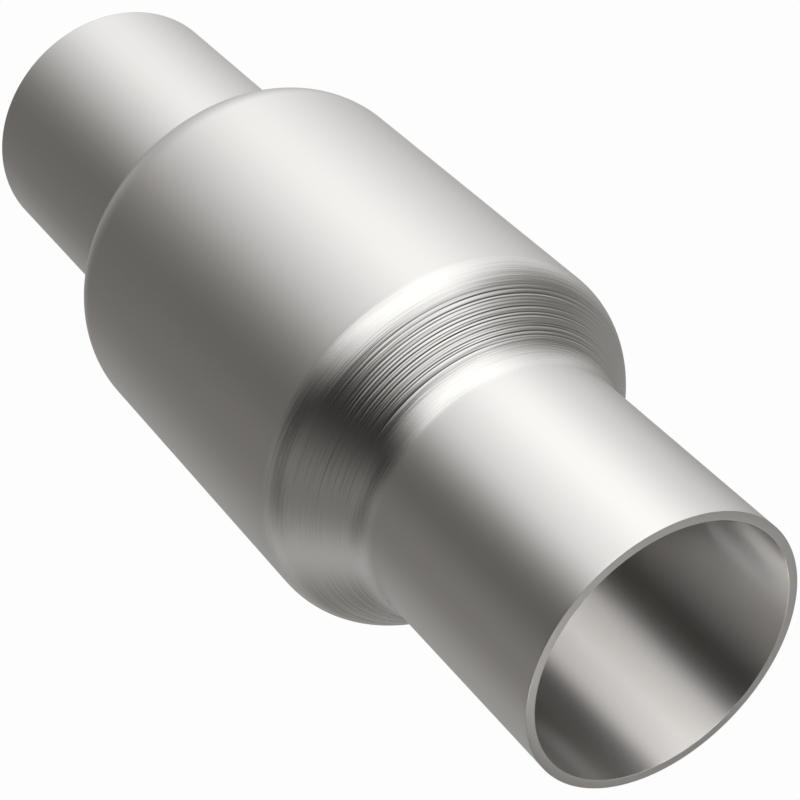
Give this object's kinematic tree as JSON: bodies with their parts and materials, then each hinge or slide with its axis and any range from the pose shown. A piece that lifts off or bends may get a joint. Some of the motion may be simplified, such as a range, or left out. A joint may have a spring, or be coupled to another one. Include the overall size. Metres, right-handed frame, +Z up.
{
  "type": "catalytic converter",
  "caption": "Round spun stainless catalytic converter with a bare pipe neck at each end, a honeycomb brick, its support mat and edge seals.",
  "frame": {"origin": "centre of the lower neck's rim, on the surface that the converter stands on", "axes": "+Z up along the converter's axis, from the plain lower neck to the neck beside the grooved shoulder; the mat's seam lies towards -Y"},
  "size_m": [0.0892, 0.0892, 0.2368],
  "materials": {
    "shell": "satin",
    "substrate": "matte",
    "mat": "matte",
    "seal": "satin"
  },
  "bodies": {
    "root": {"shell": "shell", "catalyst_substrate": "substrate", "support_mat": "mat", "upper_edge_seal": "seal", "lower_edge_seal": "seal"}
  },
  "joints": []
}
